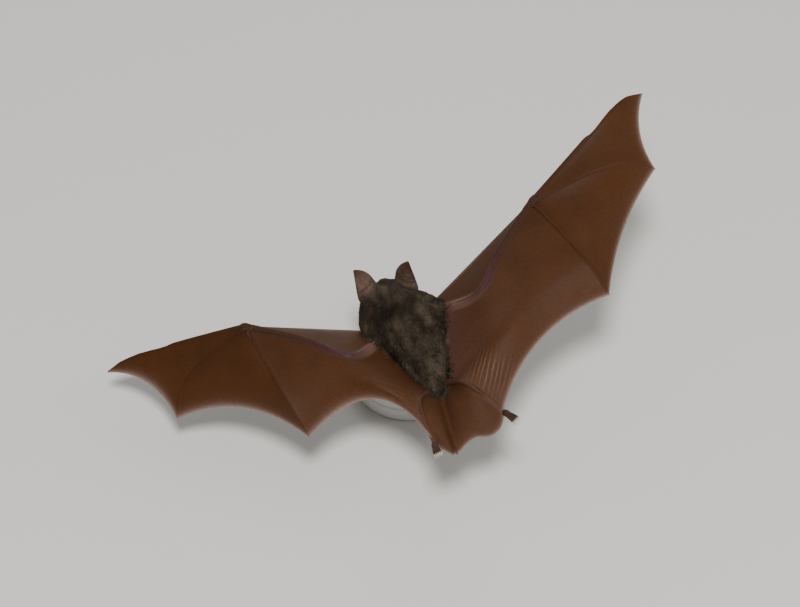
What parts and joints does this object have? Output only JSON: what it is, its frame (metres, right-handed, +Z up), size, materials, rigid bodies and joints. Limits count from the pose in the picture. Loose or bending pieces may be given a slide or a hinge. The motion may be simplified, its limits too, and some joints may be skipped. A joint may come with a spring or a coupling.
{
  "type": "brown bat on a display stand",
  "caption": "Life-size brown bat banking in flight with spread wings, furred body, pricked ears and tail membrane, held over a round display base by a thin rod.",
  "frame": {"origin": "middle of the underside of the round stand base", "axes": "+Z up; +Y the way the bat heads; +X to the bat's right, along its wingspan"},
  "size_m": [0.2057, 0.1064, 0.0843],
  "materials": {
    "fur": "short soft fur",
    "membrane": "thin naked wing skin, satin",
    "ear_skin": "thin naked skin, satin",
    "limb_skin": "skin drawn over bone, satin",
    "eye": "wet black",
    "nose_skin": "bare damp skin",
    "base_paint": "satin off-white paint",
    "rod_steel": "fine brushed"
  },
  "bodies": {
    "root": {"ear_left": "ear_skin", "ear_right": "ear_skin", "eye_left": "eye", "eye_right": "eye", "finger_2_left": "limb_skin", "finger_2_right": "limb_skin", "finger_3_left": "limb_skin", "finger_3_right": "limb_skin", "finger_4_left": "limb_skin", "finger_4_right": "limb_skin", "finger_5_left": "limb_skin", "finger_5_right": "limb_skin", "foot_left": "limb_skin", "foot_right": "limb_skin", "forearm_left": "limb_skin", "forearm_right": "limb_skin", "hand_membrane_inner_left": "membrane", "hand_membrane_inner_right": "membrane", "hand_membrane_outer_left": "membrane", "hand_membrane_outer_right": "membrane", "head": "fur", "lower_jaw": "fur", "neck": "fur", "nose": "nose_skin", "plagiopatagium_left": "membrane", "plagiopatagium_right": "membrane", "propatagium_left": "membrane", "propatagium_right": "membrane", "shin_left": "limb_skin", "shin_right": "limb_skin", "stand_base": "base_paint", "stand_rod": "rod_steel", "tail": "limb_skin", "thigh_left": "fur", "thigh_right": "fur", "thumb_left": "limb_skin", "thumb_right": "limb_skin", "tragus_left": "ear_skin", "tragus_right": "ear_skin", "trunk": "fur", "upper_arm_left": "limb_skin", "upper_arm_right": "limb_skin", "uropatagium_left": "membrane", "uropatagium_right": "membrane"}
  },
  "joints": []
}
